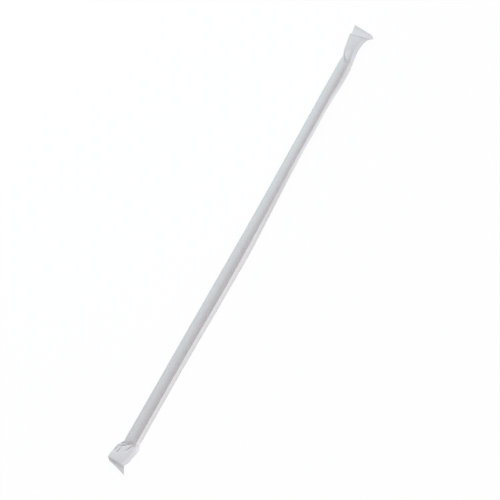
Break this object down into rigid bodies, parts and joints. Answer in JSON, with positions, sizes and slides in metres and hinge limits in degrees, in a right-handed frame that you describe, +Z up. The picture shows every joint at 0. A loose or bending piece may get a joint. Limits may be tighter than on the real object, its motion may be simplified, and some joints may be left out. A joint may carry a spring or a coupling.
{
  "type": "wrapped drinking straw",
  "caption": "Long straight drinking straw closed in a white paper wrapper, with a glued seam along one side, one end gathered and bent aside, the other flared.",
  "frame": {"origin": "on the table, under the middle of the wrapper's bounding box", "axes": "+X along the straw, from the gathered end towards the flared end; +Y away from the seam; +Z up from the table"},
  "size_m": [0.298, 0.0142, 0.0058],
  "materials": {
    "wrapper_paper": "thin matt white paper, uncoated"
  },
  "bodies": {
    "root": {"wrapped_straw": "wrapper_paper"}
  },
  "joints": []
}
